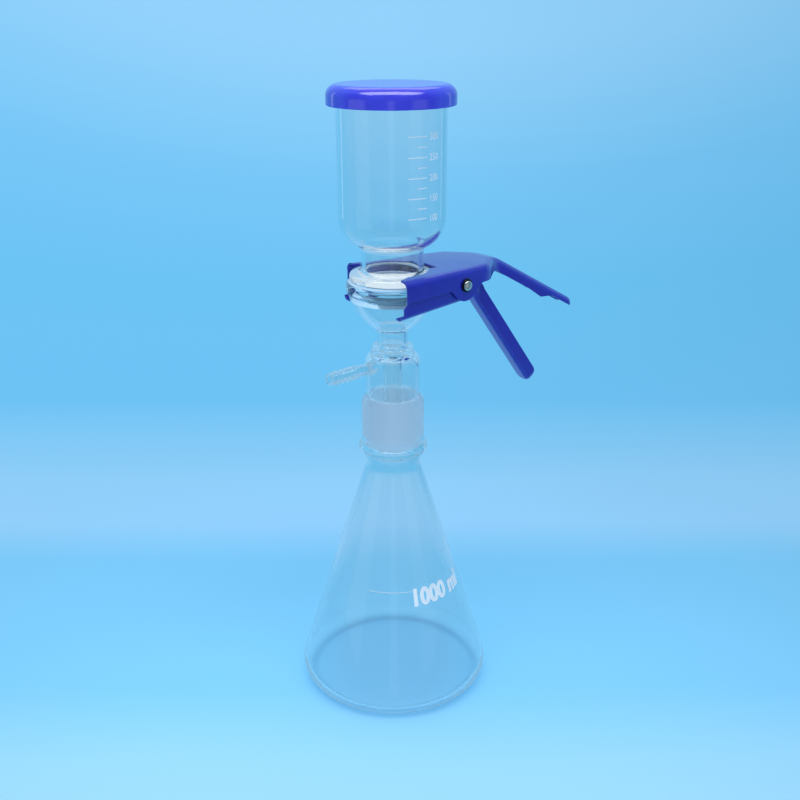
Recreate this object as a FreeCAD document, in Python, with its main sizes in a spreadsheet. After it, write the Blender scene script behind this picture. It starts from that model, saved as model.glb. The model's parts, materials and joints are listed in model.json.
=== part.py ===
import FreeCAD, Part
import math
import os
import Sketcher

# Glass vacuum filtration unit for 47 mm membranes: a capped graduated funnel is
# held on a fritted filter head by a pressed clamp, and the head's ground socket
# stands on the neck of a conical receiving flask.
# Millimetres. Origin at the centre of the flask's base, +Z up, clamp along +X.

doc = FreeCAD.newDocument("vacuum_filtration_unit")
sheet = doc.addObject("Spreadsheet::Sheet", "Sizes")


class Size(float):
    """A number that keeps the sheet expression it came from."""

    def __new__(cls, value, text=None):
        made = float.__new__(cls, value)
        made.text = text if text else "(%.10g)" % value
        return made

    def _join(self, other, sign, value, swap=False):
        other = other if isinstance(other, Size) else Size(other)
        first, second = (other, self) if swap else (self, other)
        return Size(value, "(%s %s %s)" % (first.text, sign, second.text))

    def __add__(self, other):
        return self._join(other, "+", float(self) + float(other))

    def __radd__(self, other):
        return self._join(other, "+", float(other) + float(self), True)

    def __sub__(self, other):
        return self._join(other, "-", float(self) - float(other))

    def __rsub__(self, other):
        return self._join(other, "-", float(other) - float(self), True)

    def __mul__(self, other):
        return self._join(other, "*", float(self) * float(other))

    def __rmul__(self, other):
        return self._join(other, "*", float(other) * float(self), True)

    def __truediv__(self, other):
        return self._join(other, "/", float(self) / float(other))

    def __rtruediv__(self, other):
        return self._join(other, "/", float(other) / float(self), True)

    def __neg__(self):
        return self._join(0, "-", -float(self), True)


def sine(angle):
    return Size(math.sin(math.radians(angle)), "sin(%s * 1 deg)" % angle.text)


def cosine(angle):
    return Size(math.cos(math.radians(angle)), "cos(%s * 1 deg)" % angle.text)


def tangent(angle):
    return Size(math.tan(math.radians(angle)), "tan(%s * 1 deg)" % angle.text)


def root(value):
    return Size(math.sqrt(value), "sqrt(%s)" % value.text)


ZERO = Size(0.0)
rows = 0


def size(alias, value, note):
    """Writes one driving dimension into the sheet and returns it."""
    global rows
    rows += 1
    sheet.set("A%d" % rows, note)
    sheet.set("B%d" % rows, "%g" % value)
    sheet.setAlias("B%d" % rows, alias)
    return Size(value, "Sizes." + alias)


# ---- driving dimensions -------------------------------------------------------

# flask
flask_across = size("flask_across", 143, "widest diameter of the flask")
flask_wall = size("flask_wall", 2.5, "wall of the cone and neck")
flask_floor = size("flask_floor", 3.2, "glass under the inside of the flask")
floor_crown = size("floor_crown", 1.6, "rise of the inside floor at its centre")
heel_round = size("heel_round", 13, "outside radius where floor turns into cone")
cone_slope = size("cone_slope", 17.5, "cone's angle from vertical, degrees")
neck_stand = size("neck_stand", 0.4, "flask neck beyond the wide end of the ground zone")
neck_rise = size("neck_rise", 16, "cone's top up to the wide end of the ground zone")

# ground joint, taper one in ten on the diameter
joint_across = size("joint_across", 40, "wide end of the ground cone")
joint_length = size("joint_length", 38, "length of the ground zone")
joint_taper = size("joint_taper", 0.05, "radius lost for each millimetre of height")
joint_gap = size("joint_gap", 0.05, "radial clearance of the ground surfaces")
neck_wall = size("neck_wall", 2.6, "glass at the narrow end of the ground neck")

# filter head
socket_wall = size("socket_wall", 2.9, "glass outside the ground zone")
rim_stand = size("rim_stand", 5.4, "beaded rim beyond the joint's wide end")
rim_height = size("rim_height", 8.4, "height of that bead")
rim_drop = size("rim_drop", 4.8, "how far the bead reaches below the ground zone")
cap_stand = size("cap_stand", 1.7, "body between socket and stem beyond the joint's narrow end")
cap_wall = size("cap_wall", 2.5, "glass of that body")
cap_rise = size("cap_rise", 30.5, "top of ground zone to the body's shoulder")
cap_round = size("cap_round", 8, "radius of that shoulder")
seal_across = size("seal_across", 31, "ring seal where stem and drip tube join the body")
seal_height = size("seal_height", 5.4, "height of the ring seal")
stem_across = size("stem_across", 22.4, "stem under the bowl")
stem_length = size("stem_length", 11.4, "ring seal to the foot of the bowl")
stem_wall = size("stem_wall", 2.8, "glass of the stem")
drip_across = size("drip_across", 14, "drip tube outside")
drip_wall = size("drip_wall", 2, "glass of the drip tube")
drip_end = size("drip_end", 2, "end of the drip tube below the wide end of the joint")
bowl_height = size("bowl_height", 26.6, "foot of the bowl to its flange")
bowl_across = size("bowl_across", 61.8, "bowl where it meets the flange")
bowl_sweep = size("bowl_sweep", 40, "radius of the bowl's outline")
bowl_wall = size("bowl_wall", 3.4, "glass of the bowl")
base_flange_across = size("base_flange_across", 65, "ground flange of the filter head")
base_flange_height = size("base_flange_height", 6.6, "height of that flange")
flange_round = size("flange_round", 2.4, "rounded rims of both flanges")

# side arm
arm_heading = size("arm_heading", 187, "side arm's direction round the axis, degrees")
arm_drop = size("arm_drop", 4.6, "side arm's axis below the shoulder")
arm_reach = size("arm_reach", 58, "flask axis to the tip of the side arm")
arm_root = size("arm_root", 5.8, "radius of the side arm at the body")
arm_flare = size("arm_flare", 9, "length over which the side arm's root narrows")
barb_crest = size("barb_crest", 5.1, "radius over the barbs")
barb_valley = size("barb_valley", 4.3, "radius between the barbs")
barb_pitch = size("barb_pitch", 4.4, "distance from barb to barb")
arm_bore = size("arm_bore", 5.4, "bore of the side arm")

# frit, membrane and funnel
frit_across = size("frit_across", 40, "sintered glass disc")
frit_height = size("frit_height", 5, "thickness of the disc")
frit_gap = size("frit_gap", 0.1, "radial gap round the disc")
frit_ledge = size("frit_ledge", 2.2, "width of the ledge under the disc")
membrane_across = size("membrane_across", 47, "membrane filter")
membrane_height = size("membrane_height", 0.2, "thickness of the membrane")
funnel_flange_across = size("funnel_flange_across", 59.8, "ground flange of the funnel")
funnel_flange_height = size("funnel_flange_height", 6.4, "height of that flange")
funnel_neck_across = size("funnel_neck_across", 44, "neck above the flange")
funnel_neck_wall = size("funnel_neck_wall", 3, "glass of the neck")
funnel_neck_height = size("funnel_neck_height", 17.6, "flange to the foot of the cup")
cup_across = size("cup_across", 74.8, "cup outside")
cup_wall = size("cup_wall", 2.6, "glass of the cup")
cup_round = size("cup_round", 22, "outside radius of the cup's foot")
cup_height = size("cup_height", 84.8, "straight wall from foot radius to rim top")
cup_rim_across = size("cup_rim_across", 80.8, "beaded rim of the cup")
cup_rim_height = size("cup_rim_height", 6, "height of that bead")

# lid
lid_across = size("lid_across", 86.8, "lid outside")
lid_height = size("lid_height", 13.5, "lid from skirt to top")
lid_wall = size("lid_wall", 2.2, "plastic of the lid")
lid_round = size("lid_round", 7.5, "radius round the top of the lid")

# clamp, pressed from sheet
sheet_metal = size("sheet_metal", 1.3, "thickness of both jaws")
upper_fold = size("upper_fold", 5.4, "outside radius of the upper jaw's folds")
lower_fold = size("lower_fold", 3.5, "outside radius of the lower jaw's folds")
seat_gap = size("seat_gap", 0.3, "clearance between glass and the jaws' walls")
plate_gap = size("plate_gap", 0.05, "clearance between the funnel's flange and the plate on it")
wall_gap = size("wall_gap", 0.6, "clearance between the two jaws' side walls")
jaw_taper = size("jaw_taper", 6.6, "angle of the side walls in plan, degrees")
fork_reach = size("fork_reach", 17, "fork tips beyond the glass axis")
wall_setback = size("wall_setback", 3.8, "side wall's front edge behind the tips")
upper_fork_round = size("upper_fork_round", 25.4, "radius of the upper fork's slot")
upper_notch_reach = size("upper_notch_reach", 29.2, "back of the notch in that slot")
upper_notch_half = size("upper_notch_half", 13, "half width of the notch")
lower_fork_round = size("lower_fork_round", 29.4, "radius of the lower fork's slot")
pin_reach = size("pin_reach", 8.5, "pivot behind the glass flanges")
pin_drop = size("pin_drop", 9.65, "pivot below the upper jaw's plate")
pin_across = size("pin_across", 4.4, "pivot pin")
pin_gap = size("pin_gap", 0.08, "radial running clearance on the pin")
pin_stand = size("pin_stand", 3.6, "pin beyond the upper jaw's walls")
ring_across = size("ring_across", 9.4, "retaining ring")
ring_height = size("ring_height", 1.6, "thickness of the ring")
jaw_reach = size("jaw_reach", 33.7, "end of the upper jaw's flat behind the pivot")
upper_bend = size("upper_bend", 40, "radius between the flat and the upper handle")
upper_fall = size("upper_fall", 29.2, "upper handle below horizontal, degrees")
handle_reach = size("handle_reach", 127.5, "tip of the upper handle behind the pivot")
shoulder_reach = size("shoulder_reach", 23.7, "where the upper jaw starts to narrow, behind the pivot")
shoulder_run = size("shoulder_run", 20, "length over which it narrows to its handle")
upper_half = size("upper_half", 9, "half width of the upper handle")
upper_skirt = size("upper_skirt", 10.6, "depth of the upper handle's sides, measured down")
skirt_belly = size("skirt_belly", 1.5, "how much deeper the sides are where they end")
tip_skirt = size("tip_skirt", 6.5, "depth of those sides near the tip")
lower_front_drop = size("lower_front_drop", 24.35, "top of the lower jaw's tips below the upper plate")
lower_tilt = size("lower_tilt", 3.8, "rise of the lower jaw towards the pivot, degrees")
lower_bend_reach = size("lower_bend_reach", 22.3, "turn into the lower handle behind the pivot")
lower_fall = size("lower_fall", 54, "lower handle below horizontal, degrees")
lower_length = size("lower_length", 107.2, "length of the lower handle")
lower_half = size("lower_half", 7.2, "half width of the lower handle")
lower_skirt = size("lower_skirt", 10.1, "depth of the lower handle's sides")
lobe_round = size("lobe_round", 11.4, "upper wall's lobe round the pivot")
lower_lobe_round = size("lower_lobe_round", 7.3, "lower wall's lobe round the pivot")

# torsion spring
wire_across = size("wire_across", 1.8, "spring wire")
coil_gap = size("coil_gap", 0.7, "coil's inside clear of the pin")
coil_turns = size("coil_turns", 2, "whole turns of the coil, before the part turn between its legs")
coil_pitch = size("coil_pitch", 2.3, "distance from turn to turn")
upper_leg_rise = size("upper_leg_rise", 15, "upper leg's rise towards the handles, degrees")
upper_leg_length = size("upper_leg_length", 19.4, "upper leg, ending under the upper plate")
lower_leg_fall = size("lower_leg_fall", 20, "lower leg's fall towards the handles, degrees")
lower_leg_length = size("lower_leg_length", 15.6, "lower leg, ending on the lower jaw's web")

doc.recompute()

# ---- levels worked out from them ----------------------------------------------

flask_radius = flask_across / 2
half_heel = (90 - cone_slope) / 2
floor_corner = flask_radius - heel_round + heel_round / tangent(half_heel)
neck_radius = joint_across / 2 + neck_stand
cone_top = (floor_corner - neck_radius) / tangent(cone_slope)
joint_low = cone_top + neck_rise
joint_top = joint_low + joint_length
joint_narrow = joint_across / 2 - joint_length * joint_taper
rim_low = joint_low - rim_drop
shoulder = joint_top + cap_rise
seal_low = shoulder + 3
seal_top = seal_low + seal_height
bowl_low = seal_top + stem_length
bowl_top = bowl_low + bowl_height
base_top = bowl_top + 2.2 + base_flange_height
base_low = base_top - base_flange_height
membrane_top = base_top + membrane_height
flange_top = membrane_top + funnel_flange_height
cup_low = flange_top + funnel_neck_height
cup_centre = cup_across / 2 - cup_round
neck_offset = funnel_neck_across / 2 - cup_centre
cup_foot = cup_low + root(cup_round * cup_round - neck_offset * neck_offset)
cup_top = cup_foot + cup_height
plate_low = flange_top + plate_gap
plate_top = plate_low + sheet_metal
pin_level = plate_low - pin_drop
pin_place = base_flange_across / 2 + pin_reach
jaw_end = pin_place + jaw_reach
shoulder_place = pin_place + shoulder_reach
upper_reach = pin_place + handle_reach
lower_bend_place = pin_place + lower_bend_reach
arm_level = shoulder - arm_drop

# ---- helpers ------------------------------------------------------------------


def new_body(label):
    body = doc.addObject("PartDesign::Body", label)
    body.Label = label
    return body


def origin_plane(body, role):
    return next(item for item in body.Origin.OriginFeatures if item.Role == role)


def new_sketch(body, name, role, lift=ZERO, centre=None, heading=None):
    """A sketch on one of the body's planes, lifted along its normal. centre moves its
    origin within the plane and heading then turns it about its own upright axis."""
    sketch = body.newObject("Sketcher::SketchObject", name)
    sketch.AttachmentSupport = [(origin_plane(body, role), "")]
    sketch.MapMode = "FlatFace"
    if heading is not None:
        turn = FreeCAD.Rotation(FreeCAD.Vector(0, 1, 0), heading)
        sketch.AttachmentOffset = FreeCAD.Placement(FreeCAD.Vector(), turn)
        sketch.setExpression("AttachmentOffset.Rotation.Angle", heading.text)
    for axis, value in zip("xyz", (centre or (ZERO, ZERO)) + (lift,)):
        if float(value):
            sketch.setExpression("AttachmentOffset.Base." + axis, value.text)
    return sketch


def tie(sketch, kind, geo, place, value):
    """Fixes one coordinate of a corner to its size."""
    sketch.addConstraint(Sketcher.Constraint(kind, -1, 1, geo, place, float(value)))
    sketch.setExpression("Constraints[%d]" % (sketch.ConstraintCount - 1), value.text)


def bind(sketch, kind, geo, value):
    """Adds a one-size constraint held to its expression."""
    sketch.addConstraint(Sketcher.Constraint(kind, geo, float(value)))
    sketch.setExpression("Constraints[%d]" % (sketch.ConstraintCount - 1), value.text)


def arc_between(here, there, radius):
    """The arc from here to there and its start and end marks; it turns left if radius > 0."""
    chord = there - here
    left = FreeCAD.Vector(-chord.y, chord.x, 0).normalize()
    depth = math.sqrt(float(radius) ** 2 - chord.Length ** 2 / 4)
    side = 1 if radius > 0 else -1
    centre = here + chord / 2 + left * (side * depth)
    first, last = (here, there) if side > 0 else (there, here)
    whole = Part.Circle(centre, FreeCAD.Vector(0, 0, 1), abs(float(radius)))
    begin = math.atan2(first.y - centre.y, first.x - centre.x)
    end = math.atan2(last.y - centre.y, last.x - centre.x)
    marks = (1, 2) if side > 0 else (2, 1)
    return Part.ArcOfCircle(whole, begin, end), marks


def draw(sketch, corners, arcs=None, rounds=None):
    """Closes a loop through the corners. arcs gives the radius of the edge that leaves
    a corner, positive where it turns left; rounds gives the radius that softens a corner
    between two straight edges."""
    arcs = arcs or {}
    rounds = rounds or {}
    count = len(corners)
    points = [FreeCAD.Vector(x, y, 0) for x, y in corners]
    arrive = list(points)
    leave = list(points)
    bends = {}
    for index, radius in rounds.items():
        back = (points[index - 1] - points[index]).normalize()
        ahead = (points[(index + 1) % count] - points[index]).normalize()
        run = float(radius) / math.tan(back.getAngle(ahead) / 2)
        arrive[index] = points[index] + back * run
        leave[index] = points[index] + ahead * run
        turn = 1 if back.cross(ahead).z < 0 else -1
        shape, marks = arc_between(arrive[index], leave[index], radius * turn)
        bends[index] = (sketch.addGeometry(shape, False),) + marks
    edges = []
    for index in range(count):
        there = arrive[(index + 1) % count]
        if index in arcs:
            shape, marks = arc_between(leave[index], there, arcs[index])
        else:
            shape, marks = Part.LineSegment(leave[index], there), (1, 2)
        edges.append((sketch.addGeometry(shape, False),) + marks)
    for index in range(count):
        before, _, before_end = edges[index - 1]
        after, after_start, _ = edges[index]
        x, y = corners[index]
        if index in rounds:
            bend, bend_start, bend_end = bends[index]
            spot = sketch.addGeometry(Part.Point(points[index]), True)
            tie(sketch, "DistanceX", spot, 1, x)
            tie(sketch, "DistanceY", spot, 1, y)
            bind(sketch, "Radius", bend, rounds[index])
            sketch.addConstraint([
                Sketcher.Constraint("Tangent", before, before_end, bend, bend_start),
                Sketcher.Constraint("Tangent", bend, bend_end, after, after_start),
                Sketcher.Constraint("PointOnObject", spot, 1, before),
                Sketcher.Constraint("PointOnObject", spot, 1, after),
            ])
        else:
            sketch.addConstraint(
                Sketcher.Constraint("Coincident", before, before_end, after, after_start)
            )
            tie(sketch, "DistanceX", after, after_start, x)
            tie(sketch, "DistanceY", after, after_start, y)
        if index in arcs:
            radius = arcs[index]
            bind(sketch, "Radius", after, radius if radius > 0 else -radius)
    return sketch


def circle(sketch, x, y, radius):
    centre = FreeCAD.Vector(x, y, 0)
    geo = sketch.addGeometry(Part.Circle(centre, FreeCAD.Vector(0, 0, 1), float(radius)), False)
    tie(sketch, "DistanceX", geo, 3, x)
    tie(sketch, "DistanceY", geo, 3, y)
    bind(sketch, "Radius", geo, radius)
    return sketch


def turned(body, name, kind, corners, arcs=None, level=None, heading=None):
    """A Revolution or Groove of an outline round the Z axis. With a level and a heading
    it goes round the level line that leaves the Z axis there."""
    centre = (ZERO, level) if level else None
    sketch = new_sketch(body, name + "_outline", "XZ_Plane", centre=centre, heading=heading)
    draw(sketch, corners, arcs)
    feature = body.newObject("PartDesign::" + kind, name)
    feature.Profile = sketch
    feature.ReferenceAxis = (sketch, ["H_Axis" if level else "V_Axis"])
    feature.Angle = 360
    doc.recompute()
    return feature


def padded(body, name, sketch, height, both_ways=False, backwards=False):
    feature = body.newObject("PartDesign::Pad", name)
    feature.Profile = sketch
    feature.setExpression("Length", height.text)
    feature.Midplane = both_ways
    feature.Reversed = backwards
    doc.recompute()
    return feature


def pocketed(body, name, sketch, both_ways=False):
    """Cuts the sketch right through the body and makes sure that something went."""
    before = body.Tip.Shape.Volume
    feature = body.newObject("PartDesign::Pocket", name)
    feature.Profile = sketch
    feature.Type = "ThroughAll"
    feature.Midplane = both_ways
    doc.recompute()
    if feature.Shape.Volume > before - 0.01:
        feature.Reversed = True
        doc.recompute()
    if feature.Shape.Volume > before - 0.01:
        raise RuntimeError(name + " cut nothing")
    return feature


def rounded(body, name, base, edges, radius):
    feature = body.newObject("PartDesign::Fillet", name)
    feature.Base = (base, edges)
    feature.setExpression("Radius", radius.text)
    doc.recompute()
    return feature


def bevelled(body, name, base, edges, width):
    feature = body.newObject("PartDesign::Chamfer", name)
    feature.Base = (base, edges)
    feature.setExpression("Size", width.text)
    doc.recompute()
    return feature


def rings(feature, corners):
    """Names of a turned form's circular edges at the given radius and height."""
    names = []
    for index, edge in enumerate(feature.Shape.Edges, 1):
        curve = edge.Curve
        if not isinstance(curve, Part.Circle):
            continue
        for radius, level in corners:
            if abs(curve.Radius - radius) < 0.01 and abs(curve.Center.z - level) < 0.01:
                names.append("Edge%d" % index)
    return names


def round_edges(feature):
    """Names of the edges that are circles, seams left out."""
    edges = enumerate(feature.Shape.Edges, 1)
    return ["Edge%d" % index for index, edge in edges if isinstance(edge.Curve, Part.Circle)]


def both_sides(half):
    """An outline that is the same on both sides of the clamp's middle plane."""
    return [(x, -y) for x, y in half] + [(x, y) for x, y in reversed(half)]

# ---- glass --------------------------------------------------------------------


def make_flask():
    """Conical flask with a ground neck, blown in one piece."""
    body = new_body("flask")
    neck = neck_radius
    slant = flask_wall / cosine(cone_slope)
    inner_corner = floor_corner - slant - flask_floor * tangent(cone_slope)
    bore = joint_narrow - neck_wall
    bore_level = (floor_corner - slant - bore) / tangent(cone_slope)
    outline = [
        (ZERO, ZERO),
        (floor_corner, ZERO),
        (neck, cone_top),
        (neck, joint_low - 1.5),
        (joint_across / 2, joint_low),
        (joint_narrow, joint_top),
        (bore, joint_top),
        (bore, bore_level),
        (inner_corner, flask_floor),
        (ZERO, flask_floor + floor_crown),
    ]
    blown = turned(body, "blown", "Revolution", outline)
    heel = rounded(body, "heel", blown, rings(blown, [(floor_corner, 0)]), heel_round)
    inside = rings(heel, [(inner_corner, flask_floor)])
    floor = rounded(body, "inner_heel", heel, inside, heel_round - flask_wall)
    neck_foot = rings(floor, [(neck, cone_top)])
    throat = rounded(body, "neck_foot", floor, neck_foot, heel_round * 0.8)
    inner_foot = rings(throat, [(bore, bore_level)])
    inner = rounded(body, "inner_neck_foot", throat, inner_foot, heel_round * 0.8)
    mouth = rings(inner, [(joint_narrow, joint_top), (bore, joint_top)])
    bevelled(body, "mouth", inner, mouth, flask_wall * 0.2)
    return body


def make_filter_head():
    """Ground flange, bowl, stem, drip tube, socket and side arm, all one glass piece."""
    body = new_body("filter_head")
    rim = joint_across / 2 + rim_stand
    socket = joint_across / 2 + socket_wall
    cap = joint_narrow + cap_stand
    seal = seal_across / 2
    stem = stem_across / 2
    bowl = bowl_across / 2
    flange = base_flange_across / 2
    bead = rim_height / 2
    inset = socket - rim + bead
    outline = [
        (ZERO, rim_low),
        (rim - bead, rim_low),
        (socket, rim_low + bead + root(bead * bead - inset * inset)),
        (socket, joint_top - 3),
        (cap, joint_top + 3),
        (cap, shoulder),
        (seal, seal_low),
        (seal, seal_top),
        (stem, seal_top),
        (stem, bowl_low),
        (bowl, bowl_top),
        (flange, base_low - 0.6),
        (flange, base_top),
        (ZERO, base_top),
    ]
    solid = turned(body, "outside", "Revolution", outline, {1: bead, 9: bowl_sweep})
    solid = rounded(body, "shoulder", solid, rings(solid, [(cap, shoulder)]), cap_round)
    seal_rims = rings(solid, [(seal, seal_low), (seal, seal_top)])
    solid = rounded(body, "ring_seal", solid, seal_rims, seal_height * 0.4)
    rims = rings(solid, [(flange, base_low - 0.6), (flange, base_top)])
    solid = rounded(body, "flange_rims", solid, rims, flange_round)
    foot = rings(solid, [(stem, bowl_low)])
    solid = rounded(body, "bowl_foot", solid, foot, stem_wall)
    soft = rings(solid, [(socket, joint_top - 3), (cap, joint_top + 3)])
    solid = rounded(body, "step", solid, soft, socket_wall)

    # side arm: a flared root and five barbs, each steep towards the body
    first = arm_reach - 1.6 - barb_pitch * 5
    inner_end = cap - cap_round
    drop = arm_root - barb_valley
    flare = (arm_flare * arm_flare + drop * drop) / (drop * 2)
    arm = [(inner_end, ZERO), (inner_end, barb_valley), (cap - 2, arm_root)]
    arm.append((cap - 2 + arm_flare, barb_valley))
    for number in range(5):
        arm.append((first + barb_pitch * number, barb_valley))
        arm.append((first + barb_pitch * number, barb_crest))
    arm.append((arm_reach, barb_valley))
    arm.append((arm_reach, ZERO))
    turned(body, "side_arm", "Revolution", arm, {2: flare}, arm_level, arm_heading)

    # room round the drip tube and the ground socket below it
    inner_cap = cap - cap_wall
    drip = drip_across / 2
    drip_low = joint_low - drip_end
    mouth = joint_across / 2 + joint_gap
    room = [
        (ZERO, rim_low - 1),
        (mouth + 2, rim_low - 1),
        (mouth, joint_low),
        (joint_narrow + joint_gap, joint_top),
        (inner_cap, joint_top + 4),
        (inner_cap, shoulder - 2.4),
        (drip, seal_low - 1.4),
        (drip, drip_low),
        (ZERO, drip_low),
    ]
    hollow = turned(body, "room", "Groove", room)
    inside = rings(hollow, [(inner_cap, shoulder - 2.4)])
    rounded(body, "inner_shoulder", hollow, inside, cap_round - cap_wall)

    # bore of the drip tube and stem, inside of the bowl and the frit's seat
    bore = drip - drip_wall
    stem_bore = stem - stem_wall
    frit = frit_across / 2 + frit_gap
    ledge = frit - frit_ledge
    frit_low = base_top - frit_height
    flow = [
        (ZERO, drip_low - 1),
        (bore, drip_low - 1),
        (bore, seal_low),
        (stem_bore, seal_top + 1),
        (stem_bore, bowl_low + bowl_wall),
        (bowl - bowl_wall * 1.9, bowl_top - 4.4),
        (ledge, frit_low - 1.6),
        (ledge, frit_low),
        (frit, frit_low),
        (frit, base_top + 1),
        (ZERO, base_top + 1),
    ]
    turned(body, "flow", "Groove", flow, {4: bowl_sweep - bowl_wall})

    # bore of the side arm, from the room outwards
    arm_hole = [
        (drip + 2, ZERO),
        (drip + 2, arm_bore / 2),
        (arm_reach + 1, arm_bore / 2),
        (arm_reach + 1, ZERO),
    ]
    turned(body, "arm_bore", "Groove", arm_hole, None, arm_level, arm_heading)
    return body


def make_funnel():
    """Graduated funnel: ground flange, neck, round-footed cup and beaded rim."""
    body = new_body("funnel")
    bore = funnel_neck_across / 2 - funnel_neck_wall
    neck = funnel_neck_across / 2
    flange = funnel_flange_across / 2
    cup = cup_across / 2
    inner_cup = cup - cup_wall
    inner_round = cup_round - cup_wall
    offset = bore - cup_centre
    inner_low = cup_foot - root(inner_round * inner_round - offset * offset)
    rim = cup_rim_across / 2
    rim_foot = cup_top - cup_rim_height
    outline = [
        (bore, membrane_top),
        (flange, membrane_top),
        (flange, flange_top),
        (neck, flange_top),
        (neck, cup_low),
        (cup, cup_foot),
        (cup, rim_foot - 2),
        (rim, rim_foot),
        (rim, cup_top),
        (inner_cup, cup_top),
        (inner_cup, cup_foot),
        (bore, inner_low),
    ]
    solid = turned(body, "blown", "Revolution", outline, {4: cup_round, 10: -inner_round})
    rims = rings(solid, [(flange, membrane_top), (flange, flange_top)])
    solid = rounded(body, "flange_rims", solid, rims, flange_round)
    foot = rings(solid, [(neck, flange_top)])
    solid = rounded(body, "neck_foot", solid, foot, funnel_neck_wall)
    throat = rings(solid, [(neck, cup_low), (bore, inner_low)])
    solid = rounded(body, "throat", solid, throat, funnel_neck_wall)
    bead = rings(solid, [(rim, cup_top), (rim, rim_foot)])
    solid = rounded(body, "bead", solid, bead, cup_rim_height * 0.42)
    lip = rings(solid, [(inner_cup, cup_top)])
    bevelled(body, "lip", solid, lip, cup_wall * 0.3)
    return body


def make_lid():
    """Moulded cap that drops over the cup's rim."""
    body = new_body("lid")
    outer = lid_across / 2
    inner = outer - lid_wall
    lid_top = cup_top + lid_wall
    skirt = lid_top - lid_height
    outline = [
        (ZERO, cup_top),
        (inner, cup_top),
        (inner, skirt),
        (outer, skirt),
        (outer, lid_top),
        (ZERO, lid_top),
    ]
    solid = turned(body, "moulded", "Revolution", outline)
    solid = rounded(body, "top_edge", solid, rings(solid, [(outer, lid_top)]), lid_round)
    solid = bevelled(body, "inner_edge", solid, rings(solid, [(inner, cup_top)]), lid_wall * 0.5)
    skirt_edges = rings(solid, [(inner, skirt), (outer, skirt)])
    bevelled(body, "skirt_edge", solid, skirt_edges, lid_wall * 0.2)
    return body


def make_disc(label, across, level, height):
    """A plain round disc lying at its level."""
    body = new_body(label)
    sketch = circle(new_sketch(body, label + "_outline", "XY_Plane", level), ZERO, ZERO, across / 2)
    padded(body, label + "_disc", sketch, height)
    return body

# ---- clamp --------------------------------------------------------------------


def half_width(place, inset):
    """Half width over the side walls at a place along the clamp, measured square to Y."""
    at_axis = base_flange_across / 2 + seat_gap + sheet_metal * 2 + wall_gap - inset
    return at_axis / cosine(jaw_taper) - place * tangent(jaw_taper)


def prism(body, name, half, low, high, rounds):
    """Pads a plan outline of the clamp between two levels, with softened corners."""
    count = len(half) * 2
    both = dict(rounds)
    both.update({count - 1 - index: radius for index, radius in rounds.items()})
    sketch = new_sketch(body, name + "_outline", "XY_Plane", low)
    draw(sketch, both_sides(half), rounds=both)
    return padded(body, name, sketch, high - low)


def trimmed(body, name, corners, arcs=None, rounds=None):
    """Keeps only what lies inside a side outline, seen across the clamp."""
    sketch = new_sketch(body, name + "_outline", "XZ_Plane")
    draw(sketch, corners, arcs, rounds)
    front = -fork_reach - 20
    back = upper_reach + 20
    low = pin_level - 130
    high = plate_top + 20
    draw(sketch, [(front, low), (back, low), (back, high), (front, high)])
    return pocketed(body, name, sketch, both_ways=True)


def fold_edges(feature, on_web):
    """Names of the edges where a jaw's web meets its side walls."""
    names = []
    for index, edge in enumerate(feature.Shape.Edges, 1):
        box = edge.BoundBox
        span = edge.LastParameter - edge.FirstParameter
        places = [edge.valueAt(edge.FirstParameter + span * part) for part in (0.1, 0.5, 0.9)]
        if box.XLength + box.ZLength > 0.05 and all(on_web(place) for place in places):
            names.append("Edge%d" % index)
    return names


def pressed(body, base, on_web, fold, mouths):
    """Folds the blank's long edges and hollows it, leaving only web and walls. The flat
    faces that pass through a mouth, a point seen across the clamp, are left open."""
    folded = rounded(body, "folds", base, fold_edges(base, on_web), fold)
    open_faces = []
    for index, face in enumerate(folded.Shape.Faces, 1):
        if face.Surface.TypeId != "Part::GeomPlane" or on_web(face.CenterOfMass):
            continue
        normal = face.normalAt(0, 0)
        middle = face.CenterOfMass
        gaps = [FreeCAD.Vector(x, 0, z) - middle for x, z in mouths]
        if abs(normal.y) < 0.01 and min(abs(gap.dot(normal)) for gap in gaps) < 0.01:
            open_faces.append("Face%d" % index)
    feature = body.newObject("PartDesign::Thickness", "pressed")
    feature.Base = (folded, open_faces)
    feature.setExpression("Value", sheet_metal.text)
    feature.Reversed = True
    feature.Mode = "Skin"
    feature.Join = "Intersection"
    doc.recompute()
    return feature


def pin_hole(body):
    sketch = new_sketch(body, "pin_hole_outline", "XZ_Plane")
    circle(sketch, pin_place, pin_level, pin_across / 2 + pin_gap)
    return pocketed(body, "pin_hole", sketch, both_ways=True)


def on_lobe(radius, angle):
    """A point on a round lobe about the pivot."""
    turn = Size(angle)
    return (pin_place + radius * cosine(turn), pin_level + radius * sine(turn))


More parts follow.
